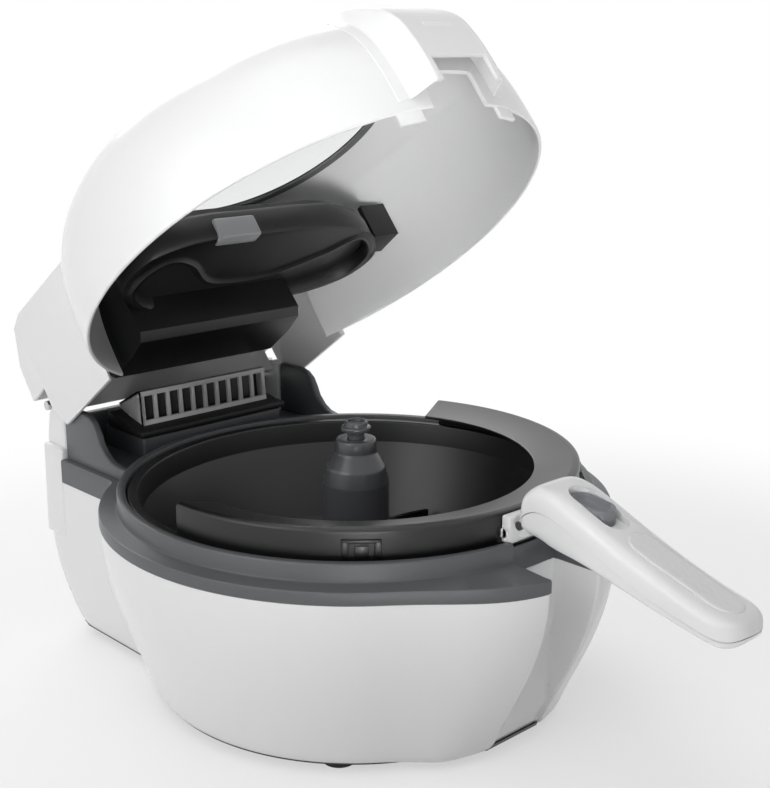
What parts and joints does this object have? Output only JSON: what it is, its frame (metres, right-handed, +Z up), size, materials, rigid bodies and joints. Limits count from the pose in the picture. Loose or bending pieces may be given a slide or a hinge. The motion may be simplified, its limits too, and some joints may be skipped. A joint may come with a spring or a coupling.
{
  "type": "multicooker",
  "caption": "Countertop hot-air multicooker with a propped-open hinged lid, a lift-out pan with stirring paddle, and a folding handle.",
  "frame": {"origin": "centre of the assembled object's footprint box, on the surface it stands on", "axes": "-Y is the front with the pan handle, +Y the rear with the lid hinge, +Z up, +X the user's right"},
  "size_m": [0.296, 0.4904, 0.3847],
  "materials": {
    "white_gloss": "glossy white moulded shell",
    "white_satin": "satin white moulded plastic",
    "dark_grey": "fine-textured dark grey plastic",
    "mid_grey": "smooth grey plastic",
    "black_plastic": "heat-proof black plastic",
    "nonstick": "smooth black non-stick coating",
    "clear": "clear heat-proof window",
    "smoke": "smoky grey plastic",
    "rubber": "soft dark rubber",
    "steel": "plain steel",
    "light_grey": "light grey moulded plastic",
    "aluminium": "bare aluminium sheet",
    "mesh": "fine woven filter mesh",
    "board": "green circuit board"
  },
  "bodies": {
    "base": {"base_shell": "white_gloss", "hinge_post_left": "white_gloss", "hinge_post_right": "white_gloss", "hinge_pins": "steel", "bottom_plate": "light_grey", "rubber_feet": "rubber", "base_screws": "steel", "bezel_ring": "dark_grey", "well_liner": "aluminium", "shaft_seal": "rubber", "stir_gearbox": "black_plastic", "stir_motor": "steel", "heater_duct": "aluminium", "heating_element": "steel", "blower_housing": "black_plastic", "fan_motor": "steel", "hot_air_nozzle": "light_grey", "nozzle_gasket": "rubber", "control_panel": "mid_grey", "control_board": "board", "power_inlet": "black_plastic"},
    "drive": {"drive_shaft": "steel"},
    "fan": {"fan_impeller": "aluminium"},
    "start": {"start_button": "white_satin"},
    "timer_plus": {"timer_plus_button": "white_satin"},
    "timer_minus": {"timer_minus_button": "white_satin"},
    "pan": {"pan_bowl": "nonstick", "pan_chimney": "nonstick", "splash_ring": "nonstick", "ring_clips": "black_plastic", "handle_bracket": "white_satin", "bracket_screws": "steel", "pivot_pin": "steel"},
    "paddle": {"paddle_hub": "smoke", "paddle_arms": "black_plastic"},
    "knob": {"paddle_knob": "smoke"},
    "handle": {"handle_upper_shell": "white_satin", "handle_lower_shell": "white_satin", "grip_pad": "white_satin", "slider_spring": "steel"},
    "slider": {"release_slider": "mid_grey"},
    "lid": {"lid_shell": "white_gloss", "lid_window": "clear", "window_gasket": "dark_grey", "nose_cover": "white_gloss", "latch_hooks": "light_grey", "rear_cover": "white_gloss", "hinge_knuckles": "steel", "filter_frame": "black_plastic", "filter_mesh": "mesh", "filter_tab": "light_grey", "lid_duct": "black_plastic", "duct_brackets": "black_plastic", "lid_screws": "steel"},
    "lid_button": {"lid_release_button": "light_grey"}
  },
  "joints": [
    {"name": "lid_hinge", "type": "hinge", "parent": "base", "child": "lid", "pos_m": [0, 0.21246, 0.1442], "axis": [-1, 0, 0], "range_deg": [-39, 0]},
    {"name": "pan_lift", "type": "slide", "parent": "base", "child": "pan", "axis": [0, 0, 1], "range_m": [0, 0.038]},
    {"name": "handle_fold", "type": "hinge", "parent": "pan", "child": "handle", "pos_m": [0, -0.11904, 0.133], "axis": [-1, 0, 0], "range_deg": [-76, 0]},
    {"name": "slider_slide", "type": "slide", "parent": "handle", "child": "slider", "axis": [0, -1, 0], "range_m": [0, 0.007], "stiffness_N_per_m": 150, "springref_m": -0.004},
    {"name": "paddle_spin", "type": "hinge", "parent": "pan", "child": "paddle", "pos_m": [0, 0.01946, 0.1], "axis": [0, 0, 1], "continuous": true},
    {"name": "knob_press", "type": "slide", "parent": "paddle", "child": "knob", "axis": [0, 0, -1], "range_m": [0, 0.004], "stiffness_N_per_m": 300, "springref_m": -0.003},
    {"name": "drive_spin", "type": "hinge", "parent": "base", "child": "drive", "pos_m": [0, 0.01946, 0.06], "axis": [0, 0, 1], "continuous": true},
    {"name": "fan_spin", "type": "hinge", "parent": "base", "child": "fan", "pos_m": [0, 0.18046, 0.07], "axis": [0, 0, 1], "continuous": true},
    {"name": "lid_button_press", "type": "slide", "parent": "lid", "child": "lid_button", "axis": [0, 0.7771, -0.6293], "range_m": [0, 0.002], "stiffness_N_per_m": 400, "springref_m": -0.003},
    {"name": "start_press", "type": "slide", "parent": "base", "child": "start", "axis": [-0.7431, 0.6691, 0], "range_m": [0, 0.0015], "stiffness_N_per_m": 400, "springref_m": -0.002},
    {"name": "timer_plus_press", "type": "slide", "parent": "base", "child": "timer_plus", "axis": [-0.7431, 0.6691, 0], "range_m": [0, 0.0015], "stiffness_N_per_m": 400, "springref_m": -0.002},
    {"name": "timer_minus_press", "type": "slide", "parent": "base", "child": "timer_minus", "axis": [-0.7431, 0.6691, 0], "range_m": [0, 0.0015], "stiffness_N_per_m": 400, "springref_m": -0.002}
  ],
  "couplings": [
    {"joint": "handle_fold", "follows": "lid_hinge", "ratio": 1.9487},
    {"joint": "paddle_spin", "follows": "drive_spin", "ratio": 1}
  ]
}
